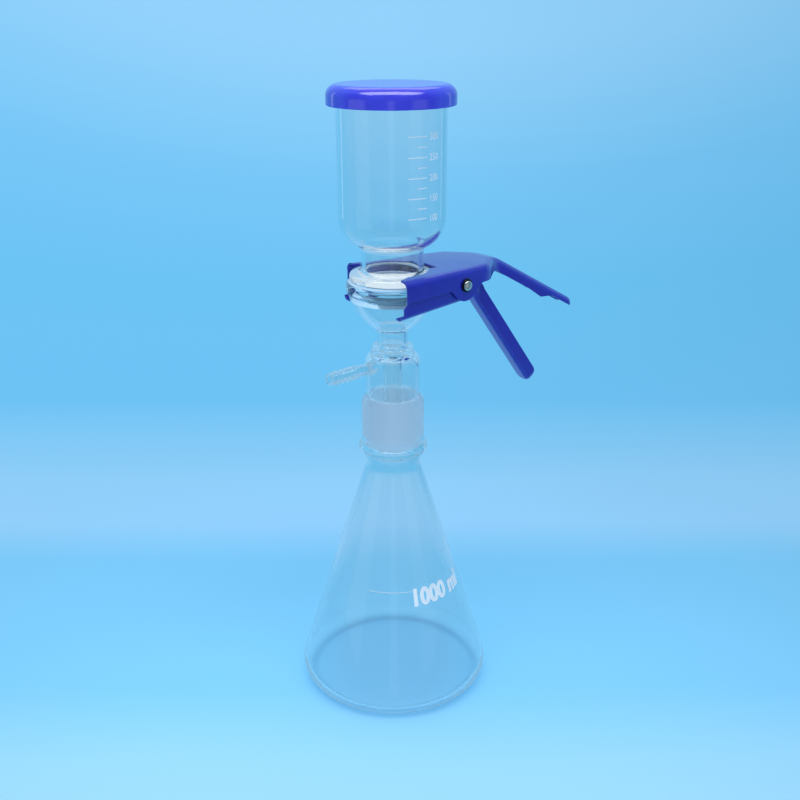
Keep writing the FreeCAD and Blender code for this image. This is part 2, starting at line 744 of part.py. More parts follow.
def make_upper_jaw():
    """Pressed upper jaw: fork, side walls, pivot lobes and handle from one sheet."""
    body = new_body("clamp_upper_jaw")
    front = -fork_reach
    slope = tangent(upper_fall)
    bend_place = jaw_end + upper_bend * tangent(upper_fall / 2)
    half = [
        (front, half_width(front, ZERO)),
        (shoulder_place, half_width(shoulder_place, ZERO)),
        (shoulder_place + shoulder_run, upper_half),
        (upper_reach, upper_half),
    ]
    corners = {1: upper_fold * 3, 2: upper_fold * 3, 3: upper_half * 0.9}

    def crest(place):
        return plate_top - (place - bend_place) * slope

    def on_web(place):
        top = float(plate_top)
        reach = place.x - float(jaw_end)
        if reach > upper_bend * sine(upper_fall):
            top = float(crest(place.x))
        elif reach > 0:
            top = top - upper_bend + math.sqrt(upper_bend ** 2 - reach ** 2)
        return abs(place.z - top) < 0.05

    beyond = upper_reach + 5
    low = crest(beyond) - 15
    web = [(front - 5, plate_top), (bend_place, plate_top), (beyond, crest(beyond))]
    block = web + [(beyond, low), (front - 5, low)]
    prism(body, "plan", half, low - 5, plate_top, corners)
    blank = trimmed(body, "blank", block, rounds={1: upper_bend})
    pressed(body, blank, on_web, upper_fold, [(front, low)])

    skirt = [
        (beyond, crest(upper_reach) - 1),
        (upper_reach, crest(upper_reach) - tip_skirt * 0.3),
        (upper_reach - tip_skirt * 0.7, crest(upper_reach - tip_skirt * 0.7) - tip_skirt),
        (upper_reach - 25, crest(upper_reach - 25) - tip_skirt),
        (upper_reach - 36, crest(upper_reach - 36) - upper_skirt - skirt_belly),
        (upper_reach - 48, crest(upper_reach - 48) - upper_skirt),
        (jaw_end + 11, crest(jaw_end + 11) - upper_skirt),
        (pin_place + 16.5, pin_level - 0.6),
        on_lobe(lobe_round, -48),
        on_lobe(lobe_round, -135),
        (pin_place - 14, pin_level - 2.3),
        (front + wall_setback, pin_level - 3.4),
        (front + wall_setback, plate_top - upper_fold),
        (front - 5, plate_top - upper_fold),
    ]
    cover = [(front - 5, plate_top + 5), (beyond, plate_top + 5)]
    trimmed(body, "side", cover + skirt, {10: -lobe_round})

    slot = upper_fork_round
    notch = root(slot * slot - upper_notch_half * upper_notch_half)
    throat = root(slot * slot - 16)
    mouth = half[0][1] - upper_fold
    sketch = new_sketch(body, "fork_outline", "XY_Plane", plate_top)
    fork = [
        (front - 2, -mouth),
        (Size(-4), -throat),
        (notch, -upper_notch_half),
        (upper_notch_reach, -upper_notch_half),
        (upper_notch_reach, upper_notch_half),
        (notch, upper_notch_half),
        (Size(-4), throat),
        (front - 2, mouth),
    ]
    draw(sketch, fork, {1: slot, 5: slot})
    pocketed(body, "fork", sketch)
    pin_hole(body)
    return body


def make_lower_jaw():
    """Pressed lower jaw: it turns on the pin inside the upper jaw's walls."""
    body = new_body("clamp_lower_jaw")
    front = -fork_reach
    inset = sheet_metal + wall_gap
    half = [
        (front, half_width(front, inset)),
        (pin_place + 5, half_width(pin_place + 5, inset)),
        (lower_bend_place + 8, lower_half),
        (upper_reach - 20, lower_half),
    ]
    corners = {1: lower_fold * 2, 2: lower_fold * 2}
    front_level = plate_low - sheet_metal - lower_front_drop
    climb = tangent(lower_tilt)
    bend_level = front_level + (lower_bend_place + fork_reach) * climb
    along = cosine(lower_fall)
    down = sine(lower_fall)

    def on_handle(travel, depth):
        """A point so far down the handle and so far in from its web."""
        return (
            lower_bend_place + travel * along + depth * down,
            bend_level - travel * down + depth * along,
        )

    bend = lower_fold * 2.5
    high = pin_level + 12
    deep = lower_skirt + 9
    web = [
        (front - 5, front_level - climb * 5),
        (lower_bend_place, bend_level),
        on_handle(lower_length, ZERO),
    ]
    back = on_handle(Size(-10), deep)
    block = web + [on_handle(lower_length, deep), back, (front - 5, high)]
    run = Part.makePolygon([FreeCAD.Vector(x, 0, z) for x, z in web])
    end = FreeCAD.Vector(along, 0, -down)
    tip = FreeCAD.Vector(web[2][0], 0, web[2][1])

    def on_web(place):
        return run.distToShape(Part.Vertex(place.x, 0, place.z))[0] < bend * 0.4

    prism(body, "plan", half, pin_level - 130, high, corners)
    blank = trimmed(body, "blank", block, rounds={1: bend})
    tip_edges = []
    for index, edge in enumerate(blank.Shape.Edges, 1):
        ends = [vertex.Point for vertex in edge.Vertexes]
        across = abs(ends[0].y - ends[-1].y) < 0.01
        if across and all(abs((point - tip).dot(end)) < 0.01 for point in ends):
            tip_edges.append("Edge%d" % index)
    blank = rounded(body, "tip", blank, tip_edges, lower_half * 0.9)
    pressed(body, blank, on_web, lower_fold, [(front, high), back])

    top_edge = pin_level - 0.3
    wall = front + 2.4
    side = [
        (front - 5, front_level - 5),
        (lower_bend_place - 10, front_level - 5),
        on_handle(Size(20), Size(-10)),
        on_handle(lower_length + 5, Size(-10)),
        on_handle(lower_length + 5, lower_skirt * 0.4),
        on_handle(lower_length, lower_skirt * 0.4),
        on_handle(lower_length - lower_skirt * 0.9, lower_skirt),
        on_handle(Size(10.6), lower_skirt),
        on_handle(Size(4.1), lower_skirt + 0.4),
        on_lobe(lower_lobe_round, 64),
        on_lobe(lower_lobe_round, 120),
        (pin_place - 16.5, top_edge),
        (wall + 3.2, top_edge),
        (wall + 3.2, top_edge - 4.5),
        (wall, top_edge - 8),
        (wall, front_level + lower_fold),
        (front - 5, front_level + lower_fold),
    ]
    trimmed(body, "side", side, {5: lower_skirt, 7: Size(18), 9: lower_lobe_round})

    slot = lower_fork_round
    waist = root(slot * slot - 1)
    sketch = new_sketch(body, "fork_outline", "XY_Plane", pin_level)
    fork = [(front - 2, -slot), (Size(1), -waist), (Size(1), waist), (front - 2, slot)]
    draw(sketch, fork, {1: slot})
    pocketed(body, "fork", sketch)
    pin_hole(body)
    return body


def make_pivot_pin():
    """Straight pin through both jaws' lobes, bevelled at its ends."""
    body = new_body("pivot_pin")
    sketch = new_sketch(body, "pin_outline", "XZ_Plane")
    circle(sketch, pin_place, pin_level, pin_across / 2)
    length = (half_width(pin_place, ZERO) + ring_height + pin_stand) * 2
    rod = padded(body, "rod", sketch, length, both_ways=True)
    bevelled(body, "bevel", rod, round_edges(rod), pin_across * 0.12)
    return body


def make_retaining_ring(label, heading):
    """Push-on ring on the pin, lying flat on the upper jaw's tapering wall."""
    body = new_body(label)
    centre = (pin_place, pin_level)
    lift = half_width(pin_place, ZERO) * (1 if heading < 90 else -1)
    sketch = new_sketch(body, label + "_outline", "XZ_Plane", lift, centre, heading)
    circle(sketch, ZERO, ZERO, ring_across / 2)
    disc = padded(body, label + "_disc", sketch, ring_height)
    bevelled(body, label + "_rims", disc, round_edges(disc), ring_height * 0.2)
    sketch = new_sketch(body, label + "_bore_outline", "XZ_Plane")
    circle(sketch, pin_place, pin_level, pin_across / 2 + 0.01)
    pocketed(body, label + "_bore", sketch, both_ways=True)
    return body


def make_torsion_spring():
    """Coil round the pin; its legs push the upper plate and the lower jaw's web apart."""
    body = new_body("torsion_spring")
    middle = pin_across / 2 + coil_gap + wire_across / 2
    turns = coil_turns + (180 - upper_leg_rise - lower_leg_fall) / 360
    start = coil_pitch * turns / -2
    centre = (pin_place, ZERO)

    def leg_sketch(name, angle, place):
        sketch = new_sketch(body, name, "XY_Plane", pin_level, centre, -angle)
        return circle(sketch, middle, place, wire_across / 2)

    lower = leg_sketch("lower_leg_outline", -(lower_leg_fall + 90), start)
    coil = body.newObject("PartDesign::AdditiveHelix", "coil")
    coil.Profile = lower
    coil.ReferenceAxis = (lower, ["V_Axis"])
    coil.Mode = "pitch-turns-angle"
    coil.setExpression("Pitch", coil_pitch.text)
    coil.setExpression("Turns", turns.text)
    doc.recompute()
    padded(body, "lower_leg", lower, lower_leg_length)
    upper = leg_sketch("upper_leg_outline", upper_leg_rise + 90, -start)
    padded(body, "upper_leg", upper, upper_leg_length, backwards=True)
    return body


# ---- the pieces and their files -----------------------------------------------

make_flask()
make_filter_head()
make_disc("frit_disc", frit_across, base_top - frit_height, frit_height)
make_disc("membrane_filter", membrane_across, base_top, membrane_height)
make_funnel()
make_lid()
make_upper_jaw()
make_lower_jaw()
make_pivot_pin()
make_retaining_ring("retaining_ring_left", jaw_taper)
make_retaining_ring("retaining_ring_right", 180 - jaw_taper)
make_torsion_spring()
doc.recompute()

os.makedirs("parts", exist_ok=True)
for item in doc.Objects:
    if "Invalid" in item.State or "Error" in item.State:
        raise RuntimeError(item.Label + " is broken")
for body in doc.Objects:
    if body.TypeId != "PartDesign::Body":
        continue
    if body.Shape.isNull() or not body.Shape.isValid() or len(body.Shape.Solids) != 1:
        raise RuntimeError(body.Label + " isn't one good solid")
    body.Shape.exportStep("parts/%s.step" % body.Label)
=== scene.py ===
import bpy
import json
from math import cos, pi, radians, sin, tan
from mathutils import Matrix, Vector

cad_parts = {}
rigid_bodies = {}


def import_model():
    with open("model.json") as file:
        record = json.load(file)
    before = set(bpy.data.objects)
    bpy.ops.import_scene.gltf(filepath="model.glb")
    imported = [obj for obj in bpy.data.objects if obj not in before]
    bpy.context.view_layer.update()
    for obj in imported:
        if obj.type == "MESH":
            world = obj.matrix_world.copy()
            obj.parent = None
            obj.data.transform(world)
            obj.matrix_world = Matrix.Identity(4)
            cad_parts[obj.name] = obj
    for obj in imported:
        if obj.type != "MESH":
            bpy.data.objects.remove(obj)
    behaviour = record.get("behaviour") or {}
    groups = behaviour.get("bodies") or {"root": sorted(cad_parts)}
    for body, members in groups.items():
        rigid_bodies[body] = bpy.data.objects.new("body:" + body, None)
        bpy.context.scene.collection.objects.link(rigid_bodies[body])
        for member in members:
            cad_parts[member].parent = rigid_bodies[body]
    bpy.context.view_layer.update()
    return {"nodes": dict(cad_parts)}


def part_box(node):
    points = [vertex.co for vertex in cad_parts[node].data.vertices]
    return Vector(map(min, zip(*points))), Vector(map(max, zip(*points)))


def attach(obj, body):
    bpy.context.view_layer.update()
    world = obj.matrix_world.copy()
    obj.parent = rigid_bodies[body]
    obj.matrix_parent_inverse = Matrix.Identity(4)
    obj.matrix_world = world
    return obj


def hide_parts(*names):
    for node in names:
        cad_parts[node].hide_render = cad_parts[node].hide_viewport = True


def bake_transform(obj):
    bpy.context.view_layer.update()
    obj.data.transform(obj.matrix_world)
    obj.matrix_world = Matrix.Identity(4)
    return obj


# vacuum filtration unit: finishes, prints, clamp, floor, light and camera
for thing in list(bpy.data.objects):
    bpy.data.objects.remove(thing)
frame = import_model()
nodes = frame["nodes"]
mm = 0.001
print("frame loaded:", len(nodes), "pieces")

flaskLow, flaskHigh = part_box("flask")
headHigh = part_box("filter_head")[1]
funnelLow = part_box("funnel")[0]


# sRGB hex to linear
def linear(hexColour):
    parts = [int(hexColour[place:place + 2], 16) / 255 for place in (1, 3, 5)]
    return [part / 12.92 if part <= 0.04045 else ((part + 0.055) / 1.055) ** 2.4
            for part in parts] + [1]


# an input takes a value, a socket, or another node for its first output
def addNode(tree, kind, inputs=None, **settings):
    node = tree.nodes.new("ShaderNode" + kind)
    for name, value in settings.items():
        setattr(node, name, value)
    for name, value in (inputs or {}).items():
        if isinstance(value, bpy.types.Node):
            value = value.outputs[0]
        if isinstance(value, bpy.types.NodeSocket):
            tree.links.new(value, node.inputs[name])
        else:
            node.inputs[name].default_value = value
    return node


def newMaterial(name):
    material = bpy.data.materials.new(name)
    material.use_nodes = True
    material.node_tree.nodes.clear()
    return material, material.node_tree


# noise from 0 to 1, its patches about size across
def patches(tree, size, detail=2, stretch=(1, 1, 1)):
    place = addNode(tree, "TexCoord").outputs["Object"]
    place = addNode(tree, "Mapping", {"Vector": place, "Scale": stretch})
    return addNode(tree, "TexNoise", {"Vector": place, "Scale": 1 / size, "Detail": detail})


# the same as bumps; rounded is how far the piece's edges look softened
def grain(tree, size, height, stretch=(1, 1, 1), rounded=0):
    bumps = patches(tree, size, stretch=stretch)
    bump = addNode(tree, "Bump", {"Height": bumps, "Distance": height, "Strength": 1})
    if rounded:
        edge = addNode(tree, "Bevel", {"Radius": rounded}, samples=6)
        tree.links.new(edge.outputs[0], bump.inputs["Normal"])
    return bump


# this share of what is seen comes through from behind
def litFromBehind(tree, shader, colour, share):
    behind = addNode(tree, "BsdfTranslucent", {0: linear(colour)})
    return addNode(tree, "MixShader", {0: share, 1: shader, 2: behind})


# borosilicate glass, fire polished and clear; tint is what it leaves of the light to the floor
clearGlass = {"colour": "#FBFAF9", "tint": "#F1F7FA", "ior": 1.473, "turns": 3.5, "rayDepth": 11.5}

# sandblasted faces turn milky; their grit is drawn coarse enough to show
groundGlass = {"colour": "#F6F9FC", "behind": "#F2F8FD", "rough": 0.5,
               "grit": 0.3 * mm, "relief": 0.01 * mm}

# the thick heel round the flask's foot holds back more light than the wall above it
heel = {"tint": "#74A8C4", "high": 9 * mm, "near": 60 * mm, "far": 69 * mm}

# how far the ground zones go, from the flask's rim and into the clamped faces
groundDepth = {"cone": 38 * mm, "socket": 30 * mm, "over": 0.2 * mm, "face": 0.15 * mm}
coneLow, socketLow = flaskHigh.z - groundDepth["cone"], flaskHigh.z - groundDepth["socket"]
jointHigh = flaskHigh.z + groundDepth["over"]
faceLow, faceHigh = headHigh.z - groundDepth["face"], funnelLow.z + groundDepth["face"]

# reach from the axis, height, how clear the zone still is and the share of light it scatters
flaskCone = {"near": 17 * mm, "far": 21 * mm, "low": coneLow, "high": jointHigh,
             "clear": 0.25, "scatter": 0.5}
headSocket = {"near": 17 * mm, "far": 20.3 * mm, "low": socketLow, "high": jointHigh,
              "clear": 0.3, "scatter": 0.5}
headFace = {"near": 20.1 * mm, "far": 32.5 * mm, "low": faceLow, "high": faceHigh,
            "clear": 0.05, "scatter": 0.6}
funnelFace = {"near": 18 * mm, "far": 30 * mm, "low": faceLow, "high": faceHigh,
              "clear": 0.05, "scatter": 0.6}


def glass(name, zones, paintedReflection):
    material, tree = newMaterial(name)
    place = addNode(tree, "TexCoord").outputs["Object"]
    parts = addNode(tree, "SeparateXYZ", {0: place})
    height = parts.outputs[2]
    flat = addNode(tree, "CombineXYZ", {0: parts.outputs[0], 1: parts.outputs[1]})
    reach = addNode(tree, "VectorMath", {0: flat}, operation="LENGTH").outputs["Value"]
    shader = addNode(tree, "BsdfPrincipled", {
        "Base Color": linear(clearGlass["colour"]), "Roughness": 0.0,
        "Transmission Weight": 1.0, "IOR": clearGlass["ior"]})
    for zone in zones:
        inside = 1.0
        for measure, low, high in ((reach, zone["near"], zone["far"]),
                                   (height, zone["low"], zone["high"])):
            band = addNode(tree, "Math", {0: measure, 1: (low + high) / 2, 2: (high - low) / 2},
                           operation="COMPARE")
            inside = addNode(tree, "Math", {0: band, 1: inside}, operation="MULTIPLY")
        blasted = addNode(tree, "BsdfPrincipled", {
            "Base Color": linear(groundGlass["colour"]), "Roughness": groundGlass["rough"],
            "Transmission Weight": zone["clear"], "IOR": clearGlass["ior"],
            "Normal": grain(tree, groundGlass["grit"], groundGlass["relief"])})
        blasted = litFromBehind(tree, blasted, groundGlass["behind"], zone["scatter"])
        shader = addNode(tree, "MixShader", {0: inside, 1: shader, 2: blasted})
    # after many turns inside the glass it glows a fixed colour instead: a painted reflection of the
    # pale paper all round
    rays = addNode(tree, "LightPath").outputs
    often = addNode(tree, "Math", {0: rays["Glossy Depth"], 1: clearGlass["turns"]},
                    operation="GREATER_THAN")
    deep = addNode(tree, "Math", {0: rays["Ray Depth"], 1: clearGlass["rayDepth"]},
                   operation="GREATER_THAN")
    caught = addNode(tree, "Math", {0: often, 1: deep}, operation="MAXIMUM")
    paintedPaperGlow = addNode(tree, "Emission", {0: linear(paintedReflection), 1: 1.0})
    shader = addNode(tree, "MixShader", {0: caught, 1: shader, 2: paintedPaperGlow})
    # light reaches the floor through the glass, less of it through the heel
    low = addNode(tree, "MapRange", {0: height, 1: heel["high"], 2: 0.0})
    wide = addNode(tree, "MapRange", {0: reach, 1: heel["near"], 2: heel["far"]})
    held = addNode(tree, "Math", {0: low, 1: wide}, operation="MULTIPLY")
    tint = addNode(tree, "Mix", {0: held, 6: linear(clearGlass["tint"]), 7: linear(heel["tint"])},
                   data_type="RGBA")
    through = addNode(tree, "BsdfTransparent", {0: tint.outputs[2]})
    passed = addNode(tree, "Math", {0: rays["Is Shadow Ray"], 1: rays["Is Diffuse Ray"]},
                     operation="MAXIMUM")
    mixed = addNode(tree, "MixShader", {0: passed, 1: shader, 2: through})
    addNode(tree, "OutputMaterial", {"Surface": mixed})
    material.cycles.emission_sampling = "NONE"
    return material


# fused glass grit with pores of tenths of a millimetre: matt white, slightly sparkling
def sinteredGlass():
    material, tree = newMaterial("sinteredGlass")
    shader = addNode(tree, "BsdfPrincipled", {
        "Base Color": linear("#E9E6EA"), "Roughness": 0.85, "IOR": 1.473,
        "Subsurface Weight": 0.3, "Subsurface Radius": (1, 1, 1), "Subsurface Scale": 0.5 * mm,
        "Normal": grain(tree, size=0.25 * mm, height=0.06 * mm)})
    mixed = litFromBehind(tree, shader, "#E9E6EA", share=0.62)
    addNode(tree, "OutputMaterial", {"Surface": mixed})
    return material


# cellulose membrane: a soft white sheet like paper, with no gloss; its grain is drawn coarse to show
def membraneSheet():
    material, tree = newMaterial("membraneSheet")
    shader = addNode(tree, "BsdfPrincipled", {
        "Base Color": linear("#F8F8F5"), "Roughness": 0.9, "Sheen Weight": 0.1,
        "Normal": grain(tree, size=0.5 * mm, height=0.01 * mm)})
    addNode(tree, "OutputMaterial", {"Surface": shader})
    return material


# injection moulded polypropylene: glossy blue-violet, faintly wavy, light goes a little way in
def mouldedPolypropylene():
    material, tree = newMaterial("mouldedPolypropylene")
    colour = addNode(tree, "Mix", {
        0: patches(tree, size=18 * mm), 6: linear("#3636D0"), 7: linear("#3C3EDC")}, data_type="RGBA")
    shader = addNode(tree, "BsdfPrincipled", {
        "Base Color": colour.outputs[2], "Roughness": 0.14, "IOR": 1.49, "Specular IOR Level": 0.9,
        "Subsurface Weight": 0.15, "Subsurface Radius": (0.3, 0.35, 1), "Subsurface Scale": 1.2 * mm,
        "Normal": grain(tree, size=1.4 * mm, height=0.008 * mm)})
    addNode(tree, "OutputMaterial", {"Surface": shader})
    return material


# pressed aluminium, dyed blue-violet and sealed: deep colour under a clear gloss
def anodisedAluminium():
    material, tree = newMaterial("anodisedAluminium")
    cloud = patches(tree, size=9 * mm, detail=3)
    colour = addNode(tree, "Mix", {0: cloud, 6: linear("#191A9C"), 7: linear("#2122B2")},
                     data_type="RGBA")
    shader = addNode(tree, "BsdfPrincipled", {
        "Base Color": colour.outputs[2], "Metallic": 0.2,
        "Roughness": addNode(tree, "MapRange", {0: cloud, 3: 0.26, 4: 0.36}),
        "Coat Weight": 0.8, "Coat Roughness": 0.1, "Coat IOR": 1.4,
        "Normal": grain(tree, size=0.8 * mm, height=0.006 * mm, rounded=0.5 * mm)})
    addNode(tree, "OutputMaterial", {"Surface": shader})
    return material


# stainless wire and pin stock, drawn: bright, its fine lines drawn coarse enough to show
def drawnSteel():
    material, tree = newMaterial("drawnSteel")
    shader = addNode(tree, "BsdfPrincipled", {
        "Base Color": linear("#C9C7C2"), "Metallic": 1.0, "Roughness": 0.24,
        "Normal": grain(tree, size=0.35 * mm, height=0.01 * mm, stretch=(1, 0.1, 1))})
    addNode(tree, "OutputMaterial", {"Surface": shader})
    return material


# spring steel blackened in an oxide bath: dark, oily satin; its grain is drawn coarse to show
def blackenedSteel():
    material, tree = newMaterial("blackenedSteel")
    shader = addNode(tree, "BsdfPrincipled", {
        "Base Color": linear("#15161A"), "Metallic": 0.7, "Roughness": 0.38,
        "Normal": grain(tree, size=0.4 * mm, height=0.01 * mm)})
    addNode(tree, "OutputMaterial", {"Surface": shader})
    return material


# white ceramic ink fired on the glass: satin, thin enough in places to see through
def firedEnamel(name, thin, full):
    material, tree = newMaterial(name)
    cover = addNode(tree, "MapRange", {0: patches(tree, size=0.9 * mm), 3: thin, 4: full})
    shader = addNode(tree, "BsdfPrincipled", {
        "Base Color": linear("#FAFCFF"), "Roughness": 0.4, "Alpha": cover})
    mixed = litFromBehind(tree, shader, "#FAFCFF", share=0.25)
    addNode(tree, "OutputMaterial", {"Surface": mixed})
    return material


aluminium, steel, blackSteel = anodisedAluminium(), drawnSteel(), blackenedSteel()
finishes = {
    # each glass's last colour is its painted reflection, the glow shown after many turns inside it
    "flask": glass("flaskGlass", [flaskCone], "#7FB6DA"),
    "filter_head": glass("headGlass", [headSocket, headFace], "#8CBFE0"),
    "funnel": glass("funnelGlass", [funnelFace], "#8CBFE0"),
    "frit_disc": sinteredGlass(),
    "membrane_filter": membraneSheet(),
    "lid": mouldedPolypropylene(),
    "clamp_upper_jaw": aluminium,
    "clamp_lower_jaw": aluminium,
    "pivot_pin": steel,
    "torsion_spring": steel,
    "retaining_ring_left": blackSteel,
    "retaining_ring_right": blackSteel,
}
for name, material in finishes.items():
    nodes[name].data.materials.clear()
    nodes[name].data.materials.append(material)
print("finishes given to", len(finishes), "pieces")

# prints, fired on the outside of the cup and of the flask; angles are round the axis, in degrees,
# and the ink covers the glass from thin to full
cupPrint = {"radius": 37.4 * mm, "radiusHeight": 366.0 * mm, "slope": 0.0, "lift": 0.02 * mm,
            "thick": 0.05 * mm, "low": 366.0 * mm, "step": 13.1 * mm,
            "volumes": (100, 150, 200, 250, 300), "numberStart": -83.6,
            "high": 4.6 * mm, "narrow": 0.86, "bold": 0.0,
            "lineStart": -108.2, "shortStart": -97.4, "lineEnd": -86.8, "line": 0.55 * mm,
            "thin": 0.5, "full": 0.85}
flaskPrint = {"radius": 20.4 * mm, "radiusHeight": 177.07 * mm, "slope": 17.5, "lift": 0.02 * mm,
              "thick": 0.05 * mm, "words": "1000 ml", "start": -109.5, "base": 83.6 * mm,
              "high": 12.4 * mm, "narrow": 0.93, "bold": 0.85 * mm,
              "lineStart": -148, "lineEnd": -108, "lineHeight": 94 * mm, "line": 0.7 * mm,
              "thin": 0.7, "full": 0.95, "lineThin": 0.15, "lineFull": 0.3}
digitShare = 0.72  # height of a digit in the size of its font
lineSteps = 24  # how often a printed line is divided to bend round the glass


def deselect():
    bpy.ops.object.select_all(action="DESELECT")


def glassRadius(sheet, height):
    return sheet["radius"] + (sheet["radiusHeight"] - height) * tan(radians(sheet["slope"]))


# lays a flat print on round glass: its x runs round, its y up the glass, its z out
def wrapped(piece, sheet, azimuth, base):
    for point in piece.data.vertices:
        x, y, out = point.co
        height = base + y * cos(radians(sheet["slope"]))
        reach = glassRadius(sheet, height) + sheet["lift"] + out
        turn = radians(azimuth) + x / glassRadius(sheet, base)
        point.co = (reach * cos(turn), reach * sin(turn), height)
    return piece


def printedText(words, sheet):
    deselect()
    bpy.ops.object.text_add()
    piece = bpy.context.object
    piece.data.body = words
    piece.data.size = sheet["high"] / digitShare
    piece.data.extrude = sheet["thick"] / 2
    piece.data.offset = sheet["bold"]
    bpy.ops.object.convert(target="MESH")
    piece = bpy.context.object
    raised = Matrix.Translation((0, 0, sheet["thick"] / 2))
    piece.data.transform(Matrix.Diagonal((sheet["narrow"], 1, 1, 1)) @ raised)
    return piece


def printedLine(sheet, start, base):
    long = radians(sheet["lineEnd"] - start) * glassRadius(sheet, base)
    deselect()
    bpy.ops.mesh.primitive_grid_add(x_subdivisions=lineSteps, y_subdivisions=1, size=1)
    piece = bpy.context.object
    sized = Matrix.Diagonal((long, sheet["line"], 1, 1))
    piece.data.transform(Matrix.Translation((long / 2, 0, 0)) @ sized)
    bpy.ops.object.mode_set(mode="EDIT")
    bpy.ops.mesh.select_all(action="SELECT")
    bpy.ops.mesh.extrude_region_move(TRANSFORM_OT_translate={"value": (0, 0, sheet["thick"])})
    bpy.ops.mesh.select_all(action="SELECT")
    bpy.ops.mesh.normals_make_consistent(inside=False)
    bpy.ops.object.mode_set(mode="OBJECT")
    return wrapped(piece, sheet, start, base)


def joined(pieces, name, material):
    deselect()
    for piece in pieces:
        piece.select_set(True)
    bpy.context.view_layer.objects.active = pieces[0]
    bpy.ops.object.join()
    whole = bpy.context.object
    whole.name = name
    whole.data.name = name
    whole.data.materials.clear()
    whole.data.materials.append(material)
    return whole


def fire(pieces, name, enamel):
    whole = joined(pieces, name, enamel)
    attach(whole, "unit")


def makeCupPrint():
    marks = []
    for number, volume in enumerate(cupPrint["volumes"]):
        height = cupPrint["low"] + number * cupPrint["step"]
        marks.append(printedLine(cupPrint, cupPrint["lineStart"], height))
        if number + 1 < len(cupPrint["volumes"]):
            between = height + cupPrint["step"] / 2
            marks.append(printedLine(cupPrint, cupPrint["shortStart"], between))
        words = printedText(str(volume), cupPrint)
        marks.append(wrapped(words, cupPrint, cupPrint["numberStart"], height - cupPrint["high"] / 2))
    fire(marks, "cupGraduations", firedEnamel("scaleEnamel", cupPrint["thin"], cupPrint["full"]))


def makeFlaskPrint():
    words = printedText(flaskPrint["words"], flaskPrint)
    wrapped(words, flaskPrint, flaskPrint["start"], flaskPrint["base"])
    line = printedLine(flaskPrint, flaskPrint["lineStart"], flaskPrint["lineHeight"])
    volumeEnamel = firedEnamel("volumeEnamel", flaskPrint["thin"], flaskPrint["full"])
    faintEnamel = firedEnamel("faintEnamel", flaskPrint["lineThin"], flaskPrint["lineFull"])
    fire([words], "flaskVolume", volumeEnamel)
    fire([line], "flaskLine", faintEnamel)


makeCupPrint()
makeFlaskPrint()
print("prints laid on the glass")

# the upper jaw's fork ends are cut square with their walls; the far side of its handle hangs
# less past thinFrom, so that it stays hidden behind the near one
upperJaw = {"cut": -13.5 * mm, "crestX": 85.1 * mm, "crestZ": 324.7 * mm, "fall": 29.2,
            "thinFrom": 88 * mm, "thinRun": 8 * mm, "farSide": 1.5 * mm, "hang": 4 * mm, "raised": 0.45}

# the lower handle's end is rounded over its last 7.5 mm
lowerJaw = {"bendX": 63.3 * mm, "bendZ": 303.1 * mm, "fall": 54, "length": 107.2 * mm,
            "round": 7.5 * mm, "middle": 3.535 * mm, "least": 0.05}

smoothUnder = {"jaws": 28, "pin": 40}  # degrees between faces
weldUnder = 0.004 * mm


def ownCopy(node, name):
    piece = nodes[node].copy()
    piece.data = piece.data.copy()
    piece.name = name
    piece.data.name = name
    piece.parent = None
    bpy.context.scene.collection.objects.link(piece)
    for key in [key for key in piece.keys() if key.startswith("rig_")]:
        del piece[key]
    deselect()
    piece.select_set(True)
    bpy.context.view_layer.objects.active = piece
    return piece


def weld():
    bpy.ops.object.mode_set(mode="EDIT")
    bpy.ops.mesh.select_all(action="SELECT")
    bpy.ops.mesh.remove_doubles(threshold=weldUnder)
    bpy.ops.object.mode_set(mode="OBJECT")
    bpy.ops.mesh.customdata_custom_splitnormals_clear()


def makeUpperJaw():
    jaw = ownCopy("clamp_upper_jaw", "upperJaw")
    weld()
    bpy.ops.object.mode_set(mode="EDIT")
    bpy.ops.mesh.select_all(action="SELECT")
    bpy.ops.mesh.bisect(plane_co=(upperJaw["cut"], 0, 0), plane_no=(-1, 0, 0),
                        use_fill=True, clear_outer=True)
    bpy.ops.object.mode_set(mode="OBJECT")
    slope = tan(radians(upperJaw["fall"]))
    for point in jaw.data.vertices:
        drop = upperJaw["crestZ"] - (point.co.x - upperJaw["crestX"]) * slope - point.co.z
        started = min(1, max(0, (point.co.x - upperJaw["thinFrom"]) / upperJaw["thinRun"]))
        if point.co.y > upperJaw["farSide"] and drop > upperJaw["hang"]:
            point.co.z += (drop - upperJaw["hang"]) * upperJaw["raised"] * started
    bpy.ops.object.shade_smooth_by_angle(angle=radians(smoothUnder["jaws"]))
    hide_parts("clamp_upper_jaw")
    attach(jaw, "unit")


def makeLowerJaw():
    jaw = ownCopy("clamp_lower_jaw", "lowerJaw")
    weld()
    fall = radians(lowerJaw["fall"])
    along = Vector((cos(fall), 0, -sin(fall)))
    inward = Vector((sin(fall), 0, cos(fall)))
    start = Vector((lowerJaw["bendX"], 0, lowerJaw["bendZ"]))
    roundFrom = lowerJaw["length"] - lowerJaw["round"]
    for point in jaw.data.vertices:
        past = ((point.co - start).dot(along) - roundFrom) / lowerJaw["round"]
        deeper = (point.co - start).dot(inward) - lowerJaw["middle"]
        if past > 0 and deeper > 0:
            kept = max(lowerJaw["least"], 1 - min(past, 1) ** 2) ** 0.5
            point.co += inward * deeper * (kept - 1)
    bpy.ops.object.shade_smooth_by_angle(angle=radians(smoothUnder["jaws"]))
    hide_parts("clamp_lower_jaw")
    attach(jaw, "lower_jaw")


makeUpperJaw()
makeLowerJaw()
print("jaws trimmed")


def makeSpring():
    spring = ownCopy("torsion_spring", "springWire")
    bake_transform(spring)
    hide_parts("torsion_spring")


makeSpring()
print("spring wound between the jaws")

# the pin's ends are domed over inside their rings
pinHead = {"radius": 3.5 * mm, "dome": 1.3 * mm, "shaft": 2.2 * mm, "sides": 64, "rings": 32}


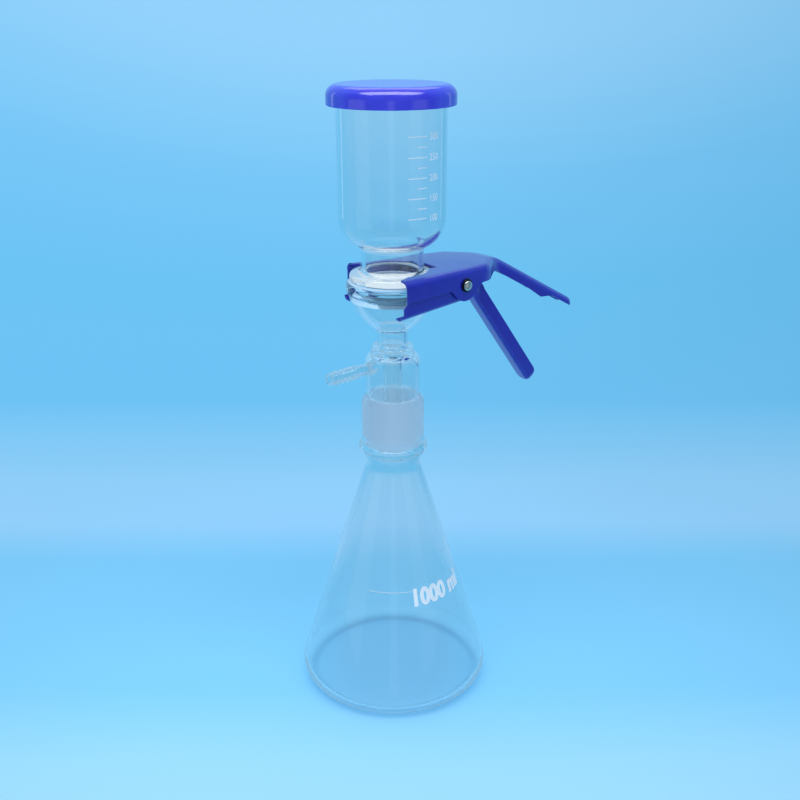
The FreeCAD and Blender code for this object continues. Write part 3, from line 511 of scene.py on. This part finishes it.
def makePin():
    pinLow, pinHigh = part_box("pivot_pin")
    centre = (pinLow + pinHigh) / 2
    inner = max(abs(corner.y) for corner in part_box("retaining_ring_right"))
    deselect()
    bpy.ops.mesh.primitive_cylinder_add(vertices=pinHead["sides"], radius=pinHead["shaft"],
                                        depth=2 * inner, rotation=(pi / 2, 0, 0), location=centre)
    pieces = [bpy.context.object]
    for side in (-1, 1):
        end = (centre.x, centre.y + side * inner, centre.z)
        bpy.ops.mesh.primitive_uv_sphere_add(segments=pinHead["sides"], ring_count=pinHead["rings"],
                                             radius=1, location=end)
        dome = bpy.context.object
        dome.scale = (pinHead["radius"], pinHead["dome"], pinHead["radius"])
        pieces.append(dome)
    pin = joined(pieces, "pinWithHeads", finishes["pivot_pin"])
    bpy.ops.object.transform_apply(location=True, rotation=True, scale=True)
    bpy.ops.object.shade_smooth_by_angle(angle=radians(smoothUnder["pin"]))
    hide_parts("pivot_pin")
    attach(pin, "unit")


makePin()
print("pin headed")

# turn is how far the clamp stands from straight across the view; lengths are in metres
camera = {"lens": 47.25, "sensor": 36, "nearest": 0.01, "distance": 0.715, "height": 0.499,
          "aside": 0.0052, "turn": 34.8, "down": 20.8, "roll": -0.15}

# the paper's own glow grows from kept, at near, to full, at far; to the right, shade is painted on it,
# down to rightShade; mirrors see it at mirrored as far as dimTo in front, and in full from fullFrom
studio = {"floorRadius": 0.9, "sweepRadius": 0.5, "wallHeight": 2.6, "floorDrop": 0.3 * mm,
          "sides": 128, "bends": 16, "near": 0.12, "far": 0.5, "kept": 0.15,
          "rightEnd": 0.9, "rightShade": 0.86, "dimTo": -0.4, "fullFrom": 0.2, "mirrored": 0.4,
          "skyLow": "#DDEBF6", "skyHigh": "#F6F9FC", "skyLight": 0.45, "aimHeight": 0.25}

# painted light and shade on the paper: its colour by how far along the sweep it lies behind the unit
paintedPaperLight = [(-0.60, "#A6DEFF"), (-0.22, "#A2DAFF"), (-0.115, "#98D7FE"), (-0.033, "#80CDFC"),
              (0.168, "#7AC8F7"), (0.245, "#92CFFB"), (0.345, "#8FCEF9"), (0.60, "#6EC3F5"),
              (1.10, "#6CC4F5"), (1.45, "#77C7F8"), (1.80, "#92D2FC"), (2.6, "#9CD8FF")]

# places are as the viewer has them: to the right, away, up
lamps = {
    "backOverhead": {"at": (0.0, 0.75, 1.5), "size": (1.2, 0.8), "power": 4.0},
    "frontStrip": {"at": (0.0, -0.62, 1.84), "size": (2.6, 0.85), "power": 31.5},
    "frontWindow": {"at": (0.0, -0.85, 0.2), "size": (0.16, 0.44), "power": 0.1},
    "leftSoftbox": {"at": (-0.75, -0.42, 0.22), "size": (0.5, 0.5), "power": 0.35},
    "rightSoftbox": {"at": (0.66, -0.56, 0.22), "size": (0.4, 0.5), "power": 0.22},
    "leftWindow": {"at": (-1.0, 0.62, 0.45), "size": (0.1, 0.9), "power": 0.32},
    "rightWindow": {"at": (1.0, 0.62, 0.45), "size": (0.08, 0.9), "power": 0.2},
}


# matt sky-blue paper, with the studio's soft, broad bands of light and shade painted into its colour
def paper():
    material, tree = newMaterial("paperSweep")
    place = addNode(tree, "TexCoord").outputs["Object"]
    along = addNode(tree, "Mapping", {"Vector": place, "Rotation": (0, 0, radians(camera["turn"]))},
                    vector_type="POINT")
    right, away, up = addNode(tree, "SeparateXYZ", {0: along}).outputs
    back = addNode(tree, "Math", {0: away, 1: up}, operation="ADD")
    first, last = paintedPaperLight[0][0], paintedPaperLight[-1][0]
    # painted light and shade: the paper's colour follows the studio's bands of light
    ramp = addNode(tree, "ValToRGB", {0: addNode(tree, "MapRange", {0: back, 1: first, 2: last})})
    elements = ramp.color_ramp.elements
    elements[0].color = linear(paintedPaperLight[0][1])
    elements[1].color = linear(paintedPaperLight[-1][1])
    for metres, colour in paintedPaperLight[1:-1]:
        elements.new((metres - first) / (last - first)).color = linear(colour)
    # painted shade: the paper's colour darkens towards the right
    aside = addNode(tree, "MapRange", {0: right, 1: 0.0, 2: studio["rightEnd"],
                                       3: 1.0, 4: studio["rightShade"]})
    colour = addNode(tree, "VectorMath", {0: ramp, 3: aside}, operation="SCALE")
    board = addNode(tree, "BsdfPrincipled",
                    {"Base Color": colour, "Roughness": 0.9, "Specular IOR Level": 0.0})
    rays = addNode(tree, "LightPath").outputs
    seen = addNode(tree, "Math", {0: rays["Is Camera Ray"], 1: rays["Is Glossy Ray"]},
                   operation="MAXIMUM")
    seen = addNode(tree, "Math", {0: seen, 1: rays["Is Transmission Ray"]}, operation="MAXIMUM")
    reach = addNode(tree, "VectorMath", {0: along}, operation="LENGTH").outputs["Value"]
    share = addNode(tree, "MapRange", {0: reach, 1: studio["near"], 2: studio["far"],
                                       3: studio["kept"], 4: 1.0}, interpolation_type="SMOOTHSTEP")
    glow = addNode(tree, "Math", {0: seen, 1: share}, operation="MULTIPLY")
    # in front the real room is dim, so there the paper glows less for mirrors
    mirror = addNode(tree, "Math", {0: rays["Is Glossy Ray"], 1: rays["Is Transmission Ray"]},
                     operation="SUBTRACT", use_clamp=True)
    behind = addNode(tree, "MapRange", {0: away, 1: studio["dimTo"], 2: studio["fullFrom"],
                                        3: studio["mirrored"], 4: 1.0}, interpolation_type="SMOOTHSTEP")
    dimmed = addNode(tree, "MapRange", {0: mirror, 3: 1.0, 4: behind})
    lit = addNode(tree, "Emission", {0: colour, 1: dimmed})
    mixed = addNode(tree, "MixShader", {0: glow, 1: board, 2: lit})
    addNode(tree, "OutputMaterial", {"Surface": mixed})
    return material


def paperCircle(name, fill):
    deselect()
    bpy.ops.mesh.primitive_circle_add(vertices=studio["sides"], radius=studio["floorRadius"],
                                      fill_type=fill)
    piece = bpy.context.object
    piece.name = name
    piece.data.name = name
    piece.data.transform(Matrix.Translation((0, 0, flaskLow.z - studio["floorDrop"])))
    return piece


def makeFloor(sweep):
    floor = paperCircle("studioFloor", "NGON")
    floor.data.materials.append(sweep)


# the paper turns up all round, so that the unit can be seen from any side
def makeWall(sweep):
    wall = paperCircle("studioWall", "NOTHING")
    turns = [pi / 2 * step / studio["bends"] for step in range(1, studio["bends"] + 1)]
    profile = [(studio["floorRadius"] + studio["sweepRadius"] * sin(turn),
                studio["sweepRadius"] * (1 - cos(turn))) for turn in turns]
    profile.append((profile[-1][0], studio["wallHeight"]))
    across, high = studio["floorRadius"], 0
    bpy.ops.object.mode_set(mode="EDIT")
    bpy.ops.mesh.select_all(action="SELECT")
    for wider, higher in profile:
        bpy.ops.mesh.extrude_edges_move(TRANSFORM_OT_translate={"value": (0, 0, higher - high)})
        bpy.ops.transform.resize(value=(wider / across, wider / across, 1), center_override=(0, 0, 0))
        across, high = wider, higher
    bpy.ops.object.mode_set(mode="OBJECT")
    wall.data.materials.append(sweep)
    wall.visible_diffuse = False
    wall.visible_shadow = False


# even white light from all round; mirrors and glass see a room brighter overhead
def makeSky():
    world = bpy.data.worlds.new("studioWorld")
    bpy.context.scene.world = world
    world.use_nodes = True
    tree = world.node_tree
    tree.nodes.clear()
    place = addNode(tree, "TexCoord").outputs["Generated"]
    rise = addNode(tree, "SeparateXYZ", {0: place}).outputs[2]
    colour = addNode(tree, "ValToRGB", {0: rise})
    colour.color_ramp.elements[0].color = linear(studio["skyLow"])
    colour.color_ramp.elements[1].color = linear(studio["skyHigh"])
    back = addNode(tree, "Background", {0: colour, 1: studio["skyLight"]})
    addNode(tree, "OutputWorld", {"Surface": back})


# from the viewer's axes to the unit's
def turned(point):
    return Matrix.Rotation(radians(-camera["turn"]), 3, "Z") @ Vector(point)


def makeLamps():
    for name, lamp in lamps.items():
        data = bpy.data.lights.new(name, "AREA")
        data.shape = "RECTANGLE"
        data.size, data.size_y = lamp["size"]
        data.energy = lamp["power"]
        piece = bpy.data.objects.new(name, data)
        bpy.context.scene.collection.objects.link(piece)
        piece.location = turned(lamp["at"])
        piece.visible_camera = False
        piece.visible_transmission = False
        aim = Vector((0, 0, studio["aimHeight"])) - piece.location
        piece.rotation_euler = aim.to_track_quat("-Z", "Y").to_euler()


def makeCamera():
    data = bpy.data.cameras.new("camera")
    data.lens = camera["lens"]
    data.sensor_width = camera["sensor"]
    data.clip_start = camera["nearest"]
    piece = bpy.data.objects.new("camera", data)
    bpy.context.scene.collection.objects.link(piece)
    piece.location = turned((camera["aside"], -camera["distance"], camera["height"]))
    turn = Matrix.Rotation(radians(-camera["turn"]), 4, "Z")
    tilt = Matrix.Rotation(radians(90 - camera["down"]), 4, "X")
    roll = Matrix.Rotation(radians(camera["roll"]), 4, "Z")
    piece.rotation_euler = (turn @ tilt @ roll).to_euler()
    bpy.context.scene.camera = piece


paperSweep = paper()
makeFloor(paperSweep)
makeWall(paperSweep)
makeSky()
makeLamps()
makeCamera()
bpy.context.scene.view_settings.view_transform = "Standard"
print("studio set")
